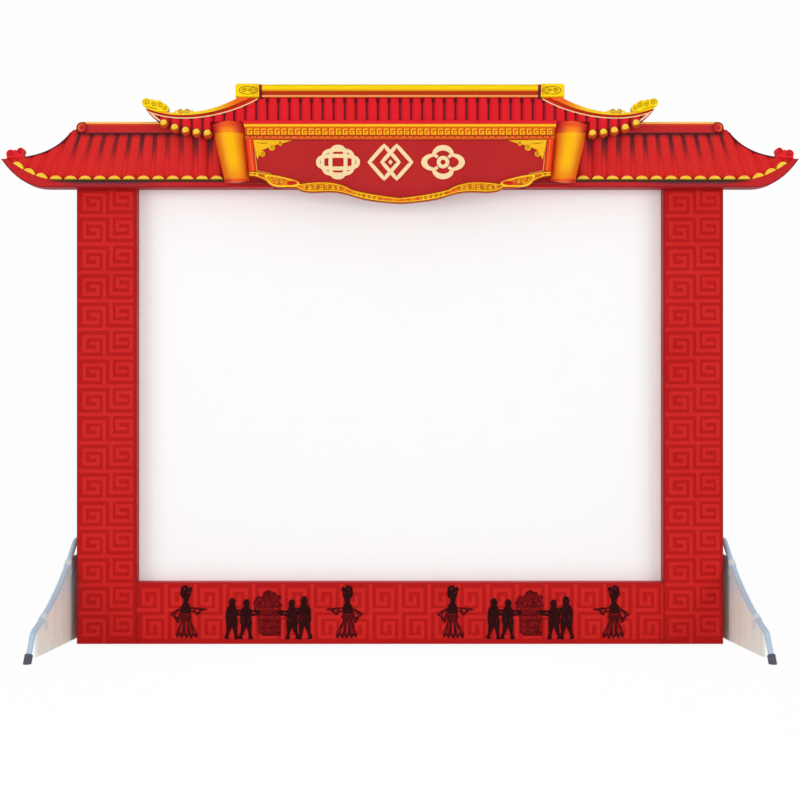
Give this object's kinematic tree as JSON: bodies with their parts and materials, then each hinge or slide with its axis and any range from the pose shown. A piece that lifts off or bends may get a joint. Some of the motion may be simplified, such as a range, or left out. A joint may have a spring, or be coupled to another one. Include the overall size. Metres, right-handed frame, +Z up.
{
  "type": "shadow theatre",
  "caption": "Tabletop shadow theatre: red fret-printed frame with a stretched white screen under a two-tier tiled gate roof, standing on folding side wings.",
  "frame": {"origin": "centre of the frame's underside, on the surface it stands on", "axes": "+X to the right of someone facing the screen, +Y away from them, +Z up"},
  "size_m": [0.946, 0.1871, 0.6622],
  "materials": {
    "red_print": "board printed with a fret in two reds, satin varnish",
    "bare_wood": "planed softwood",
    "screen_white": "fine white cotton stretched flat",
    "roof_board": "dark red paint on board",
    "tile_red": "red paint shaded dark between the tiles",
    "eave_red": "deep red satin paint",
    "gold_paint": "gold and yellow paint",
    "amber_paint": "orange to yellow airbrushed paint",
    "name_crimson": "crimson satin paint",
    "rod_enamel": "pale blue-grey enamel",
    "panel_cream": "cream sheet",
    "steel_plate": "zinc plated",
    "foot_rubber": "matt rubber"
  },
  "bodies": {
    "theatre": {"left_post": "red_print", "right_post": "red_print", "bottom_rail": "red_print", "top_rail": "red_print", "corner_plates": "steel_plate", "wood_screws": "steel_plate", "stretcher_left": "bare_wood", "stretcher_right": "bare_wood", "stretcher_top": "bare_wood", "stretcher_bottom": "bare_wood", "screen_cloth": "screen_white", "button_screws": "steel_plate", "roof_backboard": "roof_board", "lower_eave_left": "eave_red", "lower_eave_right": "eave_red", "lower_tiles_left": "tile_red", "lower_tiles_right": "tile_red", "lower_ridge_left": "eave_red", "lower_ridge_right": "eave_red", "lower_tile_ends": "gold_paint", "crest_left": "tile_red", "crest_right": "tile_red", "header_spacer": "roof_board", "upper_roof_board": "roof_board", "upper_tiles": "tile_red", "upper_ridge_beam": "gold_paint", "ridge_block_left": "gold_paint", "ridge_block_right": "gold_paint", "hip_band_left": "amber_paint", "hip_band_right": "amber_paint", "tip_cloud_left": "gold_paint", "tip_cloud_right": "gold_paint", "upper_tile_ends": "gold_paint", "frieze": "gold_paint", "nameplate": "name_crimson", "nameplate_border": "gold_paint", "side_mouldings": "amber_paint", "corner_scrolls": "gold_paint", "column_left": "amber_paint", "column_right": "amber_paint", "wing_bracket_left": "steel_plate", "wing_bracket_right": "steel_plate"},
    "wing_left": {"wing_rod_left": "rod_enamel", "wing_panel_left": "panel_cream", "wing_clips_left": "rod_enamel", "wing_collar_left": "rod_enamel", "wing_foot_left": "foot_rubber"},
    "wing_right": {"wing_rod_right": "rod_enamel", "wing_panel_right": "panel_cream", "wing_clips_right": "rod_enamel", "wing_collar_right": "rod_enamel", "wing_foot_right": "foot_rubber"},
    "turn_button_top_left": {"button_top_left": "steel_plate"},
    "turn_button_top_right": {"button_top_right": "steel_plate"},
    "turn_button_bottom_left": {"button_bottom_left": "steel_plate"},
    "turn_button_bottom_right": {"button_bottom_right": "steel_plate"},
    "turn_button_side_left": {"button_side_left": "steel_plate"},
    "turn_button_side_right": {"button_side_right": "steel_plate"}
  },
  "joints": [
    {"name": "wing_left_fold", "type": "hinge", "parent": "theatre", "child": "wing_left", "pos_m": [-0.393, 0.026, 0.054], "axis": [0, 0, -1], "range_deg": [-5, 259]},
    {"name": "wing_right_fold", "type": "hinge", "parent": "theatre", "child": "wing_right", "pos_m": [0.393, 0.026, 0.054], "axis": [0, 0, 1], "range_deg": [-5, 259]},
    {"name": "turn_top_left", "type": "hinge", "parent": "theatre", "child": "turn_button_top_left", "pos_m": [-0.15, 0.0218, 0.584], "axis": [0, 1, 0], "range_deg": [-90, 90]},
    {"name": "turn_top_right", "type": "hinge", "parent": "theatre", "child": "turn_button_top_right", "pos_m": [0.15, 0.0218, 0.584], "axis": [0, 1, 0], "range_deg": [-90, 90]},
    {"name": "turn_bottom_left", "type": "hinge", "parent": "theatre", "child": "turn_button_bottom_left", "pos_m": [-0.15, 0.0218, 0.038], "axis": [0, 1, 0], "range_deg": [-90, 90]},
    {"name": "turn_bottom_right", "type": "hinge", "parent": "theatre", "child": "turn_button_bottom_right", "pos_m": [0.15, 0.0218, 0.038], "axis": [0, 1, 0], "range_deg": [-90, 90]},
    {"name": "turn_side_left", "type": "hinge", "parent": "theatre", "child": "turn_button_side_left", "pos_m": [-0.352, 0.0218, 0.3], "axis": [0, 1, 0], "range_deg": [-90, 90]},
    {"name": "turn_side_right", "type": "hinge", "parent": "theatre", "child": "turn_button_side_right", "pos_m": [0.352, 0.0218, 0.3], "axis": [0, 1, 0], "range_deg": [-90, 90]}
  ]
}
